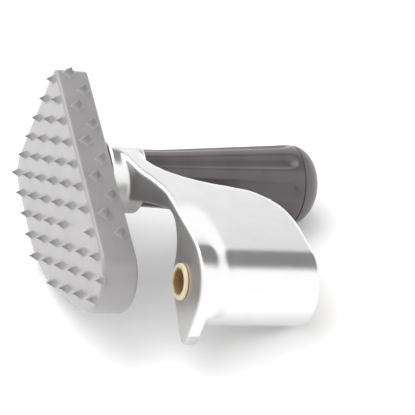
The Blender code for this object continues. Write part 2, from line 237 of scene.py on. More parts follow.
@dataclass(frozen=True)
class MouldedPlastic:
    """Warm grey plastic with a fine moulded grain, faint flow marks and painted shade that darkens the
    spikes towards their tips.
    """

    name: str = "moulded_grey"
    pale: Colour = (0.295, 0.283, 0.288)
    deep: Colour = (0.252, 0.241, 0.246)
    # Painted shade: a darker colour laid on the spikes and lugs towards their tips.
    painted_tip_shade: Colour = (0.125, 0.118, 0.121)
    tip_height: float = 0.0022
    tip_shade_share: float = 0.8
    tip_foot: float = 0.0002
    narrow_face: float = -0.0043
    flow_scale: float = 55.0
    grain_scale: float = 2600.0
    grain_height: float = 0.00003

    def material(self) -> bpy.types.Material:
        """Build the material."""
        graph = Graph(self.name)
        place = graph.tool_place()
        flow = graph.noise(place, self.flow_scale, 3.0)
        grain = graph.noise(place, self.grain_scale)
        ripple = graph.noise(graph.stretched(place, (1.0, 1.0, 0.35)), 220.0)
        colour = graph.blend(graph.spread(flow, 0.0, 1.0), self.pale, self.deep)
        along = graph.node("ShaderNodeSeparateXYZ", {0: place})
        across = graph.node("ShaderNodeSeparateXYZ", {0: place}, out=1)
        # Painted shade: the spikes and lugs darken with their height above the large face and the narrow
        # face.
        face_spike_shade = graph.spread(along, 0.0, self.tip_shade_share, -self.tip_foot, -self.tip_height)
        edge_lug_shade = graph.spread(across, 0.0, self.tip_shade_share, self.narrow_face - self.tip_foot,
                                  self.narrow_face - self.tip_height)
        colour = graph.blend(graph.maths("MAXIMUM", face_spike_shade, edge_lug_shade), colour, self.painted_tip_shade)
        normal = graph.bump(grain, self.grain_height)
        normal = graph.bump(ripple, 0.0003, normal, 0.5)
        return graph.finish(Base_Color=colour, Roughness=graph.spread(grain, 0.34, 0.44), Normal=normal,
                            Specular_IOR_Level=0.75, Coat_Weight=0.9, Coat_Roughness=0.3)


@dataclass(frozen=True)
class PolishedCasting:
    """Aluminium, polished where a wheel reaches and satin elsewhere."""

    name: str = "polished_aluminium"
    bright: Colour = (0.86, 0.86, 0.86)
    satin: Colour = (0.60, 0.595, 0.585)
    polished_roughness: float = 0.17
    satin_roughness: float = 0.42

    def material(self) -> bpy.types.Material:
        """Build the material."""
        graph = Graph(self.name)
        place = graph.tool_place()
        polish = graph.node("ShaderNodeAttribute", {}, out=2, attribute_name="polish")
        cloud = graph.noise(place, 90.0, 4.0)
        scratch = graph.noise(graph.stretched(place, (60.0, 900.0, 900.0)), 1.0, 3.0)
        wave = graph.noise(place, 130.0)
        cast = graph.noise(place, 1500.0)
        colour = graph.blend(polish, self.satin, self.bright)
        smooth = graph.spread(cloud, self.polished_roughness - 0.04, self.polished_roughness + 0.06)
        rough = graph.spread(cloud, self.satin_roughness - 0.05, self.satin_roughness + 0.05)
        mixed = graph.node("ShaderNodeMix", {"Factor": polish, 2: rough, 3: smooth})
        normal = graph.bump(wave, 0.00012, None, 0.2)
        normal = graph.bump(scratch, 0.000006, normal, 0.3)
        grit = graph.maths("MULTIPLY", cast, graph.maths("SUBTRACT", 1.0, polish))
        normal = graph.bump(grit, 0.00006, normal, 0.6)
        return graph.finish(Base_Color=colour, Roughness=mixed, Metallic=1.0, Normal=normal)


@dataclass(frozen=True)
class GripPlastic:
    """Glossy dark plastic with slow moulding waves and a mottled shine."""

    name: str = "dark_grip"
    body: Colour = (0.080, 0.068, 0.073)
    worn: Colour = (0.098, 0.085, 0.091)
    roughness: float = 0.2

    def material(self) -> bpy.types.Material:
        """Build the material."""
        graph = Graph(self.name)
        place = graph.tool_place()
        cloud = graph.noise(place, 75.0, 4.0)
        rub = graph.noise(place, 420.0, 3.0)
        wave = graph.noise(place, 110.0)
        grain = graph.noise(place, 3000.0)
        normal = graph.bump(wave, 0.0002, None, 0.25)
        normal = graph.bump(grain, 0.000008, normal, 0.5)
        return graph.finish(
            Base_Color=graph.blend(graph.spread(cloud, 0.0, 1.0), self.body, self.worn),
            Roughness=graph.spread(rub, self.roughness - 0.03, self.roughness + 0.05), Normal=normal,
            Specular_IOR_Level=0.6)


@dataclass(frozen=True)
class BushNylon:
    """Natural nylon, cream outside and brown in the bore, partly real stain and partly painted shade."""

    name: str = "natural_nylon"
    fresh: Colour = (0.74, 0.62, 0.44)
    # Brown for the bore: partly real stain, partly painted shade of the hollow.
    bore_stain_and_shade: Colour = (0.24, 0.15, 0.06)
    bore_radius: float = 0.0062
    face_radius: float = 0.0072

    def material(self) -> bpy.types.Material:
        """Build the material."""
        graph = Graph(self.name)
        place = graph.tool_place()
        radial = graph.node("ShaderNodeVectorMath", {0: place, 1: (0.0, 1.0, 1.0)}, operation="MULTIPLY")
        away = graph.node("ShaderNodeVectorMath", {0: radial}, out=1, operation="LENGTH")
        blotch = graph.spread(graph.noise(place, 500.0, 3.0), -0.0004, 0.0004)
        # Painted shade with real stain: the colour turns brown towards the bore.
        clear_of_stain_and_shade = graph.spread(graph.maths("ADD", away, blotch), 0.0, 1.0, self.bore_radius, self.face_radius)
        turning = graph.noise(graph.stretched(place, (4000.0, 300.0, 300.0)), 1.0)
        return graph.finish(Base_Color=graph.blend(clear_of_stain_and_shade, self.bore_stain_and_shade, self.fresh),
                            Roughness=graph.spread(turning, 0.35, 0.5),
                            Normal=graph.bump(turning, 0.00001), Subsurface_Weight=0.15,
                            Subsurface_Radius=(0.004, 0.003, 0.002), Subsurface_Scale=0.3)


@dataclass(frozen=True)
class TurnedMetal:
    """Metal from the lathe, with rings round its axis."""

    name: str
    bright: Colour
    dull: Colour
    roughness: float = 0.3

    def material(self) -> bpy.types.Material:
        """Build the material."""
        graph = Graph(self.name)
        place = graph.tool_place()
        rings = graph.noise(graph.stretched(place, (3500.0, 60.0, 60.0)), 1.0)
        tarnish = graph.noise(place, 260.0, 4.0)
        return graph.finish(
            Base_Color=graph.blend(graph.spread(tarnish, 0.0, 1.0), self.bright, self.dull), Metallic=1.0,
            Roughness=graph.spread(tarnish, self.roughness - 0.06, self.roughness + 0.12),
            Normal=graph.bump(rings, 0.00001))


# ---------------------------------------------------------------- solids

def solid(name: str, shape: bmesh.types.BMesh) -> bpy.types.Object:
    """Turn a bmesh into an object in the scene.

    Args:
        name: the object's name.
        shape: the bmesh, which is freed.

    Returns:
        The object.
    """
    mesh = bpy.data.meshes.new(name)
    shape.to_mesh(mesh)
    shape.free()
    made = bpy.data.objects.new(name, mesh)
    bpy.context.scene.collection.objects.link(made)
    return made


def closed_up(shape: bmesh.types.BMesh, join: float = 0.00001) -> bmesh.types.BMesh:
    """Merge a shape's doubles and turn its faces outwards."""
    bmesh.ops.remove_doubles(shape, verts=shape.verts, dist=join)
    bmesh.ops.recalc_face_normals(shape, faces=shape.faces)
    return shape


def slab(name: str, outline: Sequence[Flat], view: Matrix, near: float, far: float) -> bpy.types.Object:
    """Extrude an outline between two depths of its view.

    Args:
        name: the object's name.
        outline: points round the outline, across and up.
        view: the frame that the outline is drawn in.
        near: the first depth.
        far: the last depth.

    Returns:
        The solid.
    """
    shape = bmesh.new()
    rim = [shape.verts.new((across, up, near)) for across, up in outline]
    face = shape.faces.new(rim)
    moved = bmesh.ops.extrude_face_region(shape, geom=[face])["geom"]
    bmesh.ops.translate(shape, vec=(0, 0, far - near),
                        verts=[part for part in moved if isinstance(part, bmesh.types.BMVert)])
    bmesh.ops.transform(shape, matrix=view, verts=shape.verts)
    return solid(name, closed_up(shape))


def spun(profile: Sequence[Flat], steps: int, axis: Flat = (0.0, 0.0),
         ring: bool = True) -> bmesh.types.BMesh:
    """Spin a profile about a line parallel to the rod.

    Args:
        profile: points of (X, radius).
        steps: how many faces go round.
        axis: the line's Y and Z.
        ring: whether the profile's ends are joined, as in a tube.

    Returns:
        The shape.
    """
    shape = bmesh.new()
    points = [shape.verts.new((along, axis[0] + radius, axis[1])) for along, radius in profile]
    edges = [shape.edges.new(pair) for pair in zip(points, points[1:])]
    if ring:
        edges.append(shape.edges.new((points[-1], points[0])))
    bmesh.ops.spin(shape, geom=points + edges, cent=(0, *axis), axis=(1, 0, 0), angle=FULL_TURN,
                   steps=steps, use_merge=True)
    return closed_up(shape)


def join_meshes(name: str, parts: Sequence[bpy.types.Object]) -> bpy.types.Object:
    """Put several solids in one object, still overlapping.

    Args:
        name: the new object's name.
        parts: the solids, which are removed.

    Returns:
        The object.
    """
    shape = bmesh.new()
    for part in parts:
        shape.from_mesh(part.data)
        bpy.data.objects.remove(part)
    return solid(name, shape)


def settle(target: bpy.types.Object) -> bpy.types.Object:
    """Apply an object's modifiers to its mesh."""
    graph = bpy.context.evaluated_depsgraph_get()
    mesh = bpy.data.meshes.new_from_object(target.evaluated_get(graph), depsgraph=graph)
    target.modifiers.clear()
    target.data = mesh
    return target


def carve(target: bpy.types.Object, tool: bpy.types.Object, how: Cut) -> bpy.types.Object:
    """Act on a solid with another, which is removed.

    Args:
        target: the solid that changes.
        tool: the other solid.
        how: what the tool does.

    Returns:
        The target.
    """
    modifier = target.modifiers.new("carve", "BOOLEAN")
    modifier.operation = how.value
    modifier.object = tool
    modifier.solver = "EXACT"
    settle(target)
    bpy.data.objects.remove(tool)
    return target


def refine(target: bpy.types.Object, work: Callable[[bmesh.types.BMesh], None]) -> bpy.types.Object:
    """Edit an object's mesh with a function of its bmesh."""
    shape = bmesh.new()
    shape.from_mesh(target.data)
    work(shape)
    shape.to_mesh(target.data)
    shape.free()
    return target


def round_edges(shape: bmesh.types.BMesh, edges: Sequence[bmesh.types.BMEdge], width: float,
                segments: int) -> None:
    """Round some edges of a bmesh."""
    bmesh.ops.bevel(shape, geom=list(edges), offset=width, offset_type="OFFSET", segments=segments,
                    profile=0.5, affect="EDGES", clamp_overlap=True, material=-1)


def place_piece(made: bpy.types.Object, finish: bpy.types.Material, body: Body,
                nodes: Sequence[str], sharp: float = 40.0) -> bpy.types.Object:
    """Lay a finished piece in the row frame, dress it and hang it on its body.

    Args:
        made: the piece, still in the tool frame.
        finish: its material.
        body: the body that it rides on.
        nodes: the frame's nodes that it stands for.
        sharp: the angle in degrees above which an edge stays sharp.

    Returns:
        The piece.
    """
    made.data.transform(TOOL.matrix())
    made.data.materials.clear()
    made.data.materials.append(finish)
    made.data.shade_smooth()
    made.data.set_sharp_from_angle(angle=math.radians(sharp))
    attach(made, body.value)
    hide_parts(*nodes)
    made.data.calc_loop_triangles()
    LOG.info("%s: %d triangles on body %s", made.name, len(made.data.loop_triangles), body.value)
    return made


def arc(radius: float, start: float, end: float, count: int, centre: Flat = (0.0, 0.0)) -> list[Flat]:
    """Return points on a circle from one angle to another.

    Args:
        radius: the circle's radius.
        start: the first angle.
        end: the last angle.
        count: how many points.
        centre: the circle's centre.

    Returns:
        The points.
    """
    turns = [start + (end - start) * step / (count - 1) for step in range(count)]
    return [(centre[0] + radius * math.cos(turn), centre[1] + radius * math.sin(turn)) for turn in turns]


def smooth_path(knots: Sequence[Flat], steps: int = 8) -> list[Flat]:
    """Return a Catmull-Rom path through some knots.

    Args:
        knots: the knots.
        steps: how many points lie between two of them.

    Returns:
        The path's points.
    """
    ends = [Vector(knot) for knot in (knots[0], *knots, knots[-1])]
    path = []
    for before, here, there, after in zip(ends, ends[1:], ends[2:], ends[3:]):
        for step in range(steps):
            share = step / steps
            bend = 2 * here + (there - before) * share
            bend += (2 * before - 5 * here + 4 * there - after) * share**2
            bend += (3 * here - before - 3 * there + after) * share**3
            path.append(tuple(bend / 2))
    path.append(tuple(knots[-1]))
    return path


# ---------------------------------------------------------------- pusher plate

@dataclass
class Spike:
    """A four-sided spike with a flared foot and softened ridges."""

    height: float
    radius: float
    root: float = 0.0004
    levels: tuple[Flat, ...] = ((0.0, 1.06), (0.06, 0.94), (0.2, 0.76), (0.45, 0.49), (0.75, 0.21),
                                (1.0, 0.035))
    ridge: float = 0.00022

    def template(self) -> bpy.types.Mesh:
        """Build one spike that points along Z from the origin.

        Returns:
            Its mesh.
        """
        shape = bmesh.new()
        bmesh.ops.create_circle(shape, cap_ends=True, segments=4, radius=self.radius * self.levels[0][1],
                                matrix=Matrix.Translation((0, 0, -self.root)))
        ring = list(shape.edges)
        before = self.levels[0][1]
        below = -self.root
        for share, width in self.levels:
            moved = bmesh.ops.extrude_edge_only(shape, edges=ring)["geom"]
            ring = [part for part in moved if isinstance(part, bmesh.types.BMEdge)]
            verts = [part for part in moved if isinstance(part, bmesh.types.BMVert)]
            bmesh.ops.translate(shape, vec=(0, 0, share * self.height - below), verts=verts)
            bmesh.ops.scale(shape, vec=(width / before, width / before, 1), verts=verts)
            before, below = width, share * self.height
        bmesh.ops.edgeloop_fill(shape, edges=ring)
        ridges = [edge for edge in shape.edges
                  if abs(edge.verts[0].co.z - edge.verts[1].co.z) > self.height / 100]
        round_edges(shape, ridges, self.ridge, 2)
        closed_up(shape, 0.000001)
        mesh = bpy.data.meshes.new("spike")
        shape.to_mesh(mesh)
        shape.free()
        return mesh

    def crop(self, name: str, places: Sequence[Matrix]) -> bpy.types.Object:
        """Stand a spike at each place.

        Args:
            name: the object's name.
            places: a matrix for each, with Z as the way that it points.

        Returns:
            All the spikes as one object.
        """
        mesh = self.template()
        shape = bmesh.new()
        for place in places:
            done = len(shape.verts)
            shape.from_mesh(mesh)
            bmesh.ops.transform(shape, matrix=place, verts=list(shape.verts)[done:])
        bpy.data.meshes.remove(mesh)
        return solid(name, shape)


@dataclass
class PusherPlate:
    """The moulded plate with a lattice of spikes on its face and larger ones along its edge."""

    finish: bpy.types.Material
    thickness: float = 0.0185
    front: float = -0.0043
    back: float = 0.0807
    top: Flat = (0.1396, 0.1438)
    foot: float = -0.0035
    slant_start: float = 0.0656
    slant_end: float = 0.0264
    edge_radius: float = 0.0017
    pitch: float = 0.015
    first: Flat = (0.001, 0.1355)
    columns: tuple[int, ...] = (10, 10, 9, 8, 7, 5)
    bare: tuple[int, int] = (1, 6)
    spike_size: Flat = (0.0041, 0.0034)
    lug_size: Flat = (0.0046, 0.0040)
    lug_pitch: float = 0.0243
    lug_columns: tuple[tuple[float, float, int], ...] = ((0.0074, 0.1356, 5), (0.0130, 0.1233, 5))
    insert_radius: float = 0.0068
    insert_floor: float = 0.0062
    screw_axis: Flat = (0.0145, 0.080)

    def corners(self) -> list[tuple[Flat, float]]:
        """Return the outline's corners with the radius of each."""
        return [((self.front, self.foot), 0.017), ((self.slant_end, self.foot), 0.027),
                ((self.back, self.slant_start), 0.080), ((self.back, self.top[1]), 0.0145),
                ((self.front, self.top[0]), 0.0035)]

    def slab(self) -> bpy.types.Object:
        """Build the plate's body with its corners and rims rounded."""
        corners = self.corners()
        outline = [corner for corner, _ in corners]
        body = slab("pusher_plate_moulding", outline, SIDE_VIEW, 0.0, self.thickness)

        def shape_up(shape: bmesh.types.BMesh) -> None:
            """Round the five upright edges, then both rims."""
            for index, (corner, radius) in enumerate(corners):
                here = Vector(corner)
                before = Vector(corners[index - 1][0]) - here
                after = Vector(corners[(index + 1) % len(corners)][0]) - here
                reach = radius / math.tan(before.angle(after) / 2)
                upright = [edge for edge in shape.edges
                           if all((vert.co.yz - here).length < 0.00001 for vert in edge.verts)]
                round_edges(shape, upright, reach, 14)
            rims = [edge for edge in shape.edges
                    if abs(edge.verts[0].co.x - edge.verts[1].co.x) < 0.00001]
            round_edges(shape, rims, self.edge_radius, 5)

        return refine(body, shape_up)

    def spikes(self) -> bpy.types.Object:
        """Build the face's lattice of spikes."""
        outwards = Matrix(((0, 0, -1, 0), (0, 1, 0, 0), (1, 0, 0, 0), (0, 0, 0, 1)))
        places = [(0, self.first[0] + column * self.pitch, self.first[1] - row * self.pitch)
                  for column, count in enumerate(self.columns) for row in range(count)
                  if (column, row) != self.bare]
        return Spike(*self.spike_size).crop(
            "face_spikes", [Matrix.Translation(place) @ outwards for place in places])

    def lugs(self) -> bpy.types.Object:
        """Build the two staggered columns along the narrow face."""
        outwards = Matrix(((1, 0, 0, 0), (0, 0, -1, 0), (0, 1, 0, 0), (0, 0, 0, 1)))
        places = [(depth, self.front, top - row * self.lug_pitch)
                  for depth, top, count in self.lug_columns for row in range(count)]
        return Spike(*self.lug_size).crop(
            "edge_lugs", [Matrix.Translation(place) @ outwards for place in places])

    def build(self) -> bpy.types.Object:
        """Build and place the plate."""
        plate = self.slab()
        carve(plate, self.spikes(), Cut.ADD)
        carve(plate, self.lugs(), Cut.ADD)
        hole = spun([(self.insert_floor, 0.0), (self.insert_floor, self.insert_radius),
                     (self.thickness + 0.002, self.insert_radius), (self.thickness + 0.002, 0.0)],
                    64, self.screw_axis, ring=False)
        carve(plate, solid("insert_hole", hole), Cut.REMOVE)
        return place_piece(plate, self.finish, Body.ARM, ["pusher_plate"], 30.0)


# ---------------------------------------------------------------- arm

@dataclass
class ArmCasting:
    """The cast arm: boss, web, ear, polished skin, hood and far wall in one piece."""

    finish: bpy.types.Material
    hood_radius: float = 0.0217
    wall: float = 0.004
    hood_end: float = 0.106
    end_wall: float = 0.006
    hood_lip: float = math.radians(312)
    ear_front: float = 0.0405
    ear_back: float = 0.0475
    ear_radius: float = 0.0245
    fillet_length: float = 0.0105
    fillet_steps: int = 14
    rim_climb: float = 0.036
    screw_axis: Flat = (0.0145, 0.080)
    boss_radius: float = 0.0188
    boss_front: float = 0.0188
    boss_back: float = 0.0385
    bush_bore: float = 0.0083
    stud_bore: float = 0.0045
    washer_seat: float = 0.0112
    seat_depth: float = 0.0015
    grain: float = 0.00055
    rounds: int = 18

    def __post_init__(self) -> None:
        """Find the skin's plane, the common tangent of the hood and the boss."""
        centres = Vector(self.screw_axis)
        reach = centres.length
        along = centres / reach
        outward = Vector((-along.y, along.x))
        taper = (self.hood_radius - self.boss_radius) / reach
        self.normal = outward * math.sqrt(1 - taper**2) + along * taper
        self.climb = Vector((self.normal.y, -self.normal.x))
        self.length = math.sqrt(reach**2 - (self.hood_radius - self.boss_radius) ** 2)
        self.skin_angle = math.atan2(self.normal.y, self.normal.x)

    def skin_point(self, height: float, depth: float = 0.0) -> Flat:
        """Return the side-view point at a height above the hood's tangent and a depth under the skin."""
        return tuple(self.normal * (self.hood_radius - depth) + self.climb * height)

    def plan_view(self) -> Matrix:
        """Return the frame that looks down on the skin."""
        climb, normal = self.climb, self.normal
        return Matrix(((1, 0, 0, 0), (0, climb.x, normal.x, 0), (0, climb.y, normal.y, 0), (0, 0, 0, 1)))

    def front_edge(self, setback: float) -> list[Flat]:
        """Return the front edge in plan, from the boss down to the ear."""
        knots = [(0.0207, 0.0815), (0.0249, 0.0754), (0.0301, 0.0622), (0.0347, 0.0555), (0.0392, 0.046),
                 (self.ear_front, 0.036)]
        return smooth_path([(along + setback, height) for along, height in knots])

    def skin_and_hood(self) -> bpy.types.Object:
        """Build the shell: the flat skin and the hood's wall, trimmed to the fan's plan."""
        outside = arc(self.hood_radius, self.skin_angle, self.hood_lip, 64)
        inside = arc(self.hood_radius - self.wall, self.hood_lip, self.skin_angle, 56)
        crown = self.length - 0.0025
        section = [self.skin_point(crown), *outside, *inside, self.skin_point(crown, self.wall),
                   self.skin_point(self.length + 0.004, 0.008)]
        shell = slab("arm_body", section, SIDE_VIEW, 0.015, self.hood_end + 0.003)
        front = self.front_edge(0.0007)
        back = smooth_path([(self.hood_end, 0.010), (0.1052, 0.0243), (0.1028, 0.0345), (0.0986, 0.0413),
                            (0.0928, 0.0465), (0.0871, 0.0497), (0.0762, 0.0525), (0.063, 0.0557),
                            (0.0509, 0.0606), (0.0425, 0.0661), (0.0365, 0.0735), (0.0342, 0.0818)])
        plan = front + [(front[-1][0], -0.05), (self.hood_end, -0.05)] + back
        return carve(shell, slab("fan_plan", plan, self.plan_view(), -0.06, 0.06), Cut.KEEP)

    def web(self) -> bpy.types.Object:
        """Build the ear and the neck that joins it to the boss."""
        front = [self.skin_point(self.length - 0.006, 0.0006), *self.rim_root(1.0)]
        ear = arc(self.ear_radius, self.skin_angle + 0.02, math.radians(252), 40)
        back = smooth_path([(0.0122, -0.0272), (0.0170, -0.0258), (0.0185, -0.0215), (0.0157, -0.0109),
                            (0.0135, -0.002), (0.0125, 0.0062), (0.0065, 0.0122), (-0.001, 0.0163),
                            (-0.0062, 0.022), (-0.0094, 0.030), (-0.0078, 0.0385), (-0.0012, 0.047),
                            (0.0088, 0.0585), (0.0175, 0.0645), (0.0278, 0.0675)])
        neck = [(0.0278, 0.0790), (0.0045, 0.0860)]
        web = slab("web", front + ear + back + neck, SIDE_VIEW, 0.015, 0.055)
        ear_edge = smooth_path([(self.ear_back, 0.030), (0.0462, 0.042), (0.0412, 0.054), (0.0362, 0.0635),
                                (0.0315, 0.077), (0.0300, 0.105)])
        plan = [(0.0210, 0.105), *self.front_edge(0), (self.ear_front, -0.05), (self.ear_back, -0.05),
                *ear_edge]
        return carve(web, slab("web_plan", plan, self.plan_view(), -0.06, 0.06), Cut.KEEP)

    def rim_root(self, rise: float) -> list[Flat]:
        """Return the side-view line where the ear's rim grows out of the skin, down to the hood.

        Args:
            rise: the share of the rim's full height.

        Returns:
            The points, from the skin to the hood's tangent.
        """
        steps = 10
        full = rise * (self.ear_radius - self.hood_radius)
        line = []
        for index in range(steps):
            share = index / steps
            lift = full * share * share * (3 - 2 * share)
            line.append(self.skin_point(self.rim_climb * (1 - share), -lift))
        return line

    def ear_fillet(self) -> list[bpy.types.Object]:
        """Build the sweep from the ear's raised rim down to the hood, as thin steps to be melted."""
        steps = []
        for index in range(self.fillet_steps):
            share = (index + 0.5) / self.fillet_steps
            rise = 1 - share * share * (3 - 2 * share)
            radius = self.hood_radius + rise * (self.ear_radius - self.hood_radius)
            rim = arc(radius, self.skin_angle + 0.02, math.radians(266), 48)
            root = arc(self.hood_radius - 0.002, math.radians(266), self.skin_angle, 40)
            outline = [self.skin_point(self.rim_climb + 0.002, 0.0015), *self.rim_root(rise), *rim, *root]
            end = self.ear_back + self.fillet_length * (index + 1) / self.fillet_steps
            steps.append(slab("ear_fillet", outline, SIDE_VIEW, self.ear_front + 0.002, end))
        return steps

    def far_wall(self) -> bpy.types.Object:
        """Build the wall that closes the hood's far end."""
        rim = arc(self.hood_radius - 0.0005, self.skin_angle, math.radians(318), 48)
        back = smooth_path([(0.0142, -0.004), (0.0125, 0.0062), (0.0065, 0.0122), (-0.002, 0.0165),
                            (-0.0085, 0.0215)])
        outline = [self.skin_point(0.020, 0.0005), *rim, *back]
        return slab("far_wall", outline, SIDE_VIEW, self.hood_end - self.end_wall, self.hood_end - 0.0001)

    def boss(self) -> bpy.types.Object:
        """Build the boss that the grip screws against."""
        profile = [(self.boss_front, 0.0), (self.boss_front, self.boss_radius),
                   (self.boss_back, self.boss_radius), (self.boss_back, 0.0)]
        return solid("boss", spun(profile, 96, self.screw_axis, ring=False))

    def bores(self) -> list[bpy.types.Object]:
        """Build what cuts the rod's bore and the stud's stepped bore."""
        rod = spun([(0.03, 0.0), (0.03, self.bush_bore), (0.12, self.bush_bore), (0.12, 0.0)], 96,
                   ring=False)
        seat = self.boss_back - self.seat_depth
        stud = spun([(0.01, 0.0), (0.01, self.stud_bore), (seat, self.stud_bore), (seat, self.washer_seat),
                     (0.045, self.washer_seat), (0.045, 0.0)], 96, self.screw_axis, ring=False)
        return [solid("rod_bore", rod), solid("stud_bore", stud)]

    def mark_polish(self, arm: bpy.types.Object) -> None:
        """Store how well a polishing wheel reaches each point.

        Args:
            arm: the casting, in the tool frame.
        """
        outward = Vector((0.0, *self.normal))
        polish = arm.data.attributes.new("polish", "FLOAT", "POINT")
        for vert, value in zip(arm.data.vertices, polish.data):
            side = Vector((0.0, vert.co.y, vert.co.z))
            across = vert.normal.dot(side.normalized()) if side.length < 0.028 else vert.normal.dot(outward)
            facing = 1.0 - abs(vert.normal.x)
            outer = side.length > self.hood_radius - 0.6 * self.wall or vert.co.z > 0.02
            value.value = max(0.0, min(1.0, (across - 0.15) * 1.6)) * min(1.0, facing * 2.2) * outer

    def build(self) -> bpy.types.Object:
        """Build and place the casting."""
        parts = [self.skin_and_hood(), self.web(), *self.ear_fillet(), self.far_wall(), self.boss()]
        arm = join_meshes("arm_body", parts)
        melt = arm.modifiers.new("melt", "REMESH")
        melt.mode = "VOXEL"
        melt.voxel_size = self.grain
        settle(arm)

        def polish_off(shape: bmesh.types.BMesh) -> None:
            """Soften every edge and corner."""
            for _ in range(self.rounds):
                bmesh.ops.smooth_vert(shape, verts=shape.verts, factor=0.5, use_axis_x=True,
                                      use_axis_y=True, use_axis_z=True)

        refine(arm, polish_off)
        for bore in self.bores():
            carve(arm, bore, Cut.REMOVE)
        self.mark_polish(arm)
        return place_piece(arm, self.finish, Body.ARM, ["arm_casting"], 50.0)


@dataclass
class GuideBush:
    """A flanged bush that runs on the guide rod."""

    name: str
    node: str
    face: float
    side: int
    depth: float
    finish: bpy.types.Material
    bore: float = 0.006
    sleeve: float = 0.008
    flange: float = 0.0091
    flange_thickness: float = 0.0015
    gap: float = 0.0003

    def build(self) -> bpy.types.Object:
        """Build and place the bush, with its rims rounded."""
        near = self.face + self.side * self.gap
        outer = near + self.side * self.flange_thickness
        end = self.face - self.side * self.depth
        round_off = 0.0004
        profile = [(outer, self.flange - round_off),
                   (outer - self.side * round_off * 0.3, self.flange - 0.0001),
                   (outer - self.side * round_off, self.flange), (near, self.flange), (near, self.sleeve),
                   (end, self.sleeve), (end, self.bore + 0.0003), (end + self.side * 0.0003, self.bore),
                   (outer - self.side * 0.0008, self.bore), (outer - self.side * 0.0003, self.bore + 0.0002),
                   (outer, self.bore + 0.0008)]
        bush = solid(self.name, spun(profile, 96))
        return place_piece(bush, self.finish, Body.ARM, [self.node], 35.0)


# ---------------------------------------------------------------- grip

@dataclass
class FlutedGrip:
    """The fluted grip: a tapered body with eight round-nosed flutes."""

    finish: bpy.types.Material
    axis: Flat = (0.0145, 0.080)
    start: float = 0.0388
    end: float = 0.1282
    bore: float = 0.0043
    pocket: float = 0.0093
    pocket_floor: float = 0.108
    flutes: int = 8
    flute_radius: float = 0.009
    flute_depth: Flat = (0.0009, 0.0021)
    flute_stop: float = 0.1195
    flute_turn: float = math.radians(6)
    steps: int = 240
    ring_spacing: float = 0.0009
    rounds: int = 3

    def outside(self) -> list[Flat]:
        """Return the outer profile as (X, radius) points from the boss to the cap."""
        knots = [(self.start, 0.0147), (0.0405, 0.0152), (0.047, 0.0154), (0.056, 0.0158), (0.078, 0.0177),
                 (0.104, 0.0199), (0.124, 0.0216), (self.end, 0.0217)]
        path = smooth_path(knots, 32)
        rings = round((self.end - self.start) / self.ring_spacing)
        profile = [(self.start, 0.0141), (self.start + 0.0001, 0.0145)]
        for ring in range(1, rings):
            along = self.start + (self.end - self.start) * ring / rings
            after = next(index for index, point in enumerate(path) if point[0] >= along)
            (low, low_radius), (high, high_radius) = path[after - 1], path[after]
            share = (along - low) / (high - low)
            profile.append((along, low_radius + (high_radius - low_radius) * share))
        return profile + [(self.end - 0.00012, 0.02155), (self.end, 0.0213)]

    def fluted(self, along: float, turn: float, radius: float) -> float:
        """Return the radius of the surface, less a flute.

        Args:
            along: X of the point.
            turn: its angle about the grip's axis.
            radius: its radius before the flutes.

        Returns:
            The radius after them.
        """
        past = max(0.0, along - self.flute_stop)
        if past >= self.flute_radius:
            return radius
        nose = math.sqrt(self.flute_radius**2 - past**2)
        pitch = FULL_TURN / self.flutes
        off = (turn - self.flute_turn + pitch / 2) % pitch - pitch / 2
        share = (along - self.start) / (self.end - self.start)
        depth = self.flute_depth[0] + share * (self.flute_depth[1] - self.flute_depth[0])
        centre = radius + self.flute_radius - depth
        reach = nose**2 - (centre * math.sin(off)) ** 2
        if reach <= 0:
            return radius
        return min(radius, centre * math.cos(off) - math.sqrt(reach))

    def build(self) -> bpy.types.Object:
        """Build and place the grip."""
        inside = [(self.end, self.pocket), (self.pocket_floor, self.pocket), (self.pocket_floor, self.bore),
                  (self.start, self.bore)]
        shape = spun(self.outside() + inside, self.steps, self.axis)
        skin = []
        for vert in shape.verts:
            out = Vector((vert.co.y - self.axis[0], vert.co.z - self.axis[1]))
            if out.length > 0.012 and self.start + 0.0005 < vert.co.x < self.end - 0.0005:
                radius = self.fluted(vert.co.x, math.atan2(out.y, out.x), out.length)
                vert.co.yz = Vector(self.axis) + out.normalized() * radius
                skin.append(vert)
        for _ in range(self.rounds):
            bmesh.ops.smooth_vert(shape, verts=skin, factor=0.5, use_axis_x=False, use_axis_y=True,
                                  use_axis_z=True)
        return place_piece(solid("fluted_grip", shape), self.finish, Body.GRIP, ["handle_grip"])


@dataclass
class EndCap:
    """The domed cap that closes the grip."""

    finish: bpy.types.Material
    axis: Flat = (0.0145, 0.080)
    seam: float = 0.1285
    radius: float = 0.0217
    height: float = 0.0142
    plug: float = 0.009
    plug_end: float = 0.1197

    def build(self) -> bpy.types.Object:
        """Build and place the cap."""
        dome = [(self.seam + self.height * math.sin(turn), self.radius * math.cos(turn))
                for turn in (math.radians(2 + 86 * step / 40) for step in range(40))]
        profile = [(self.plug_end, 0.0), (self.plug_end, self.plug - 0.0005),
                   (self.plug_end + 0.0005, self.plug),
                   (self.seam, self.plug), (self.seam, self.radius - 0.0005),
                   (self.seam + 0.0002, self.radius - 0.0001), *dome, (self.seam + self.height, 0.0)]
        cap = solid("grip_cap", spun(profile, 160, self.axis, ring=False))
        return place_piece(cap, self.finish, Body.GRIP, ["handle_end_cap"])


# ---------------------------------------------------------------- carried-over pieces

@dataclass
class Hardware:
    """The frame's own small pieces, which keep their shape and get their metal."""

    steel: bpy.types.Material
    brass: bpy.types.Material
    nylon: bpy.types.Material

    def dress(self) -> None:
        """Give each small piece its finish."""
        finishes = {
            "plate_insert": self.brass, "locating_pin_upper": self.steel, "locating_pin_lower": self.steel,
            "thrust_washer": self.nylon, "handle_stud": self.steel, "grip_washer": self.steel,
            "grip_nut": self.steel}
        for name, finish in finishes.items():
            node = frame["nodes"][name]
            node.data.materials.clear()
            node.data.materials.append(finish)
            LOG.info("%s keeps its shape", name)


# ---------------------------------------------------------------- studio

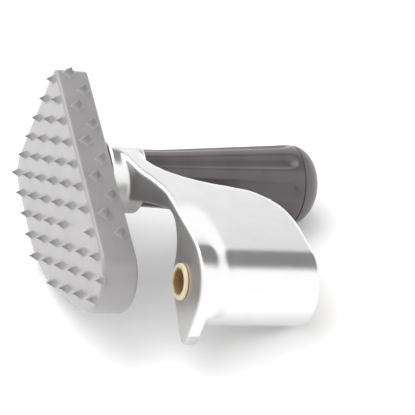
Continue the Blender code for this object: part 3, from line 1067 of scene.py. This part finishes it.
@dataclass
class Studio:
    """A white table in a white room, with a soft light and a grey patch overhead."""

    floor_size: float = 3.0
    floor_white: Colour = (0.93, 0.93, 0.93)
    floor_glow: float = 0.12
    camera_place: tuple[float, float, float] = (-0.2657, -0.5699, -0.4464)
    camera_right: tuple[float, float, float] = (0.91447, -0.32922, -0.23528)
    camera_down: tuple[float, float, float] = (0.03504, 0.64369, -0.76449)
    lens: float = 139.1
    dark_side: tuple[float, float, float] = (0.70, 0.20, 0.68)
    dark_fade: tuple[float, float, float, float] = (0.80, 0.97, 1.15, 0.27)
    lamp_place: tuple[float, float, float] = (-0.3, 0.5, 1.5)
    lamp_size: Flat = (1.6, 1.2)
    lamp_power: float = 10.0

    def floor(self) -> None:
        """Build the table."""
        shape = bmesh.new()
        bmesh.ops.create_grid(shape, x_segments=1, y_segments=1, size=self.floor_size)
        table = solid("studio_floor", shape)
        graph = Graph("studio_white")
        place = graph.node("ShaderNodeTexCoord", {}, out=3)
        shade = graph.spread(graph.noise(place, 6.0), 0.0, 1.0)
        pale = tuple(value * 0.985 for value in self.floor_white)
        table.data.materials.append(graph.finish(
            Base_Color=graph.blend(shade, self.floor_white, pale), Roughness=0.55, Specular_IOR_Level=0.3,
            Emission_Color=(1.0, 1.0, 1.0, 1.0), Emission_Strength=self.floor_glow))

    def camera(self) -> None:
        """Set up the camera."""
        turn = TOOL.turn().to_matrix()
        right = (turn @ Vector(self.camera_right)).normalized()
        up = -(turn @ Vector(self.camera_down)).normalized()
        back = right.cross(up)
        data = bpy.data.cameras.new("camera")
        data.lens = self.lens
        data.clip_start = 0.02
        data.clip_end = 20.0
        camera = bpy.data.objects.new("camera", data)
        basis = Matrix((right, up, back)).transposed().to_4x4()
        camera.matrix_world = Matrix.Translation(TOOL.matrix() @ Vector(self.camera_place)) @ basis
        bpy.context.scene.collection.objects.link(camera)
        bpy.context.scene.camera = camera

    def area(self, name: str, place: Sequence[float], aim: Sequence[float], size: Flat,
             power: float) -> None:
        """Add a rectangular soft light.

        Args:
            name: its name.
            place: where it hangs.
            aim: the point that it faces.
            size: its width and height.
            power: its power in watts.
        """
        data = bpy.data.lights.new(name, "AREA")
        data.shape = "RECTANGLE"
        data.size, data.size_y = size
        data.energy = power
        light = bpy.data.objects.new(name, data)
        light.location = place
        light.rotation_euler = (Vector(aim) - Vector(place)).to_track_quat("-Z", "Y").to_euler()
        bpy.context.scene.collection.objects.link(light)

    def room(self) -> None:
        """Light the room: white all round, with a grey ceiling patch over the grip's side."""
        world = bpy.data.worlds.new("room")
        bpy.context.scene.world = world
        world.use_nodes = True
        tree = world.node_tree
        tree.nodes["Background"].inputs["Color"].default_value = (1.0, 1.0, 1.0, 1.0)
        away = tree.nodes.new("ShaderNodeTexCoord")
        lean = tree.nodes.new("ShaderNodeVectorMath")
        lean.operation = "DOT_PRODUCT"
        lean.inputs[1].default_value = Vector(self.dark_side).normalized()
        tree.links.new(away.outputs["Generated"], lean.inputs[0])
        shade = tree.nodes.new("ShaderNodeMapRange")
        shade.interpolation_type = "SMOOTHSTEP"
        for name, value in zip(("From Min", "From Max", "To Min", "To Max"), self.dark_fade):
            shade.inputs[name].default_value = value
        tree.links.new(lean.outputs["Value"], shade.inputs["Value"])
        tree.links.new(shade.outputs[0], tree.nodes["Background"].inputs["Strength"])

    def build(self) -> None:
        """Set up the floor, lights and camera."""
        self.floor()
        self.camera()
        self.room()
        self.area("overhead", self.lamp_place, (0, 0, 0), self.lamp_size, self.lamp_power)
        bpy.context.scene.view_settings.view_transform = "Standard"


def corners(bounds: tuple[Vector, Vector]) -> list[list[float]]:
    """Return a box's two corners as plain lists."""
    return [list(corner) for corner in bounds]


def main() -> None:
    """Build every piece and the studio round it."""
    logging.basicConfig(level=logging.INFO, format="%(message)s")
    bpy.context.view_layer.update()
    plastic = MouldedPlastic().material()
    casting = PolishedCasting().material()
    grip = GripPlastic().material()
    cap = GripPlastic("dark_cap", (0.098, 0.088, 0.091), (0.118, 0.106, 0.111), 0.33).material()
    nylon = BushNylon().material()
    steel = TurnedMetal("zinc_plated_steel", (0.62, 0.62, 0.63), (0.48, 0.48, 0.50)).material()
    brass = TurnedMetal("turned_brass", (0.78, 0.58, 0.29), (0.60, 0.42, 0.20), 0.26).material()

    PusherPlate(plastic).build()
    ArmCasting(casting).build()
    GuideBush("front_bush", "guide_bush_front", 0.0405, -1, 0.008, nylon).build()
    GuideBush("rear_bush", "guide_bush_rear", 0.106, 1, 0.007, nylon).build()
    FlutedGrip(grip).build()
    EndCap(cap).build()
    Hardware(steel, brass, nylon).dress()
    Studio().build()


if __name__ == "__main__":
    main()
